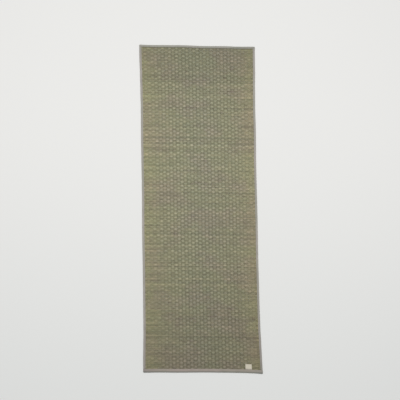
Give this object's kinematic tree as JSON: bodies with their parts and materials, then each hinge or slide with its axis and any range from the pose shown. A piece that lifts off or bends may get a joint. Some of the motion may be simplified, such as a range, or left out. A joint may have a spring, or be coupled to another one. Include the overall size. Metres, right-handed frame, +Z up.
{
  "type": "tatami yoga mat",
  "caption": "Flat rectangular mat of woven rush, its edges bound in folded cotton tape, with a small bare cloth label sewn at one corner.",
  "frame": {"origin": "middle of the underside of the mat's box, on the surface it lies on", "axes": "+Y along the mat's length towards its head, +X across its width with the label's corner at +X and -Y, +Z up through its thickness"},
  "size_m": [0.6142, 1.7378, 0.0045],
  "materials": {
    "woven_rush": "woven rush, matt with a faint natural sheen",
    "cotton_tape": "matt woven cotton tape",
    "label_cotton": "matt woven cotton"
  },
  "bodies": {
    "root": {"rush_panel": "woven_rush", "side_tape_left": "cotton_tape", "side_tape_right": "cotton_tape", "end_tape_head": "cotton_tape", "end_tape_foot": "cotton_tape", "sewn_label": "label_cotton"}
  },
  "joints": []
}
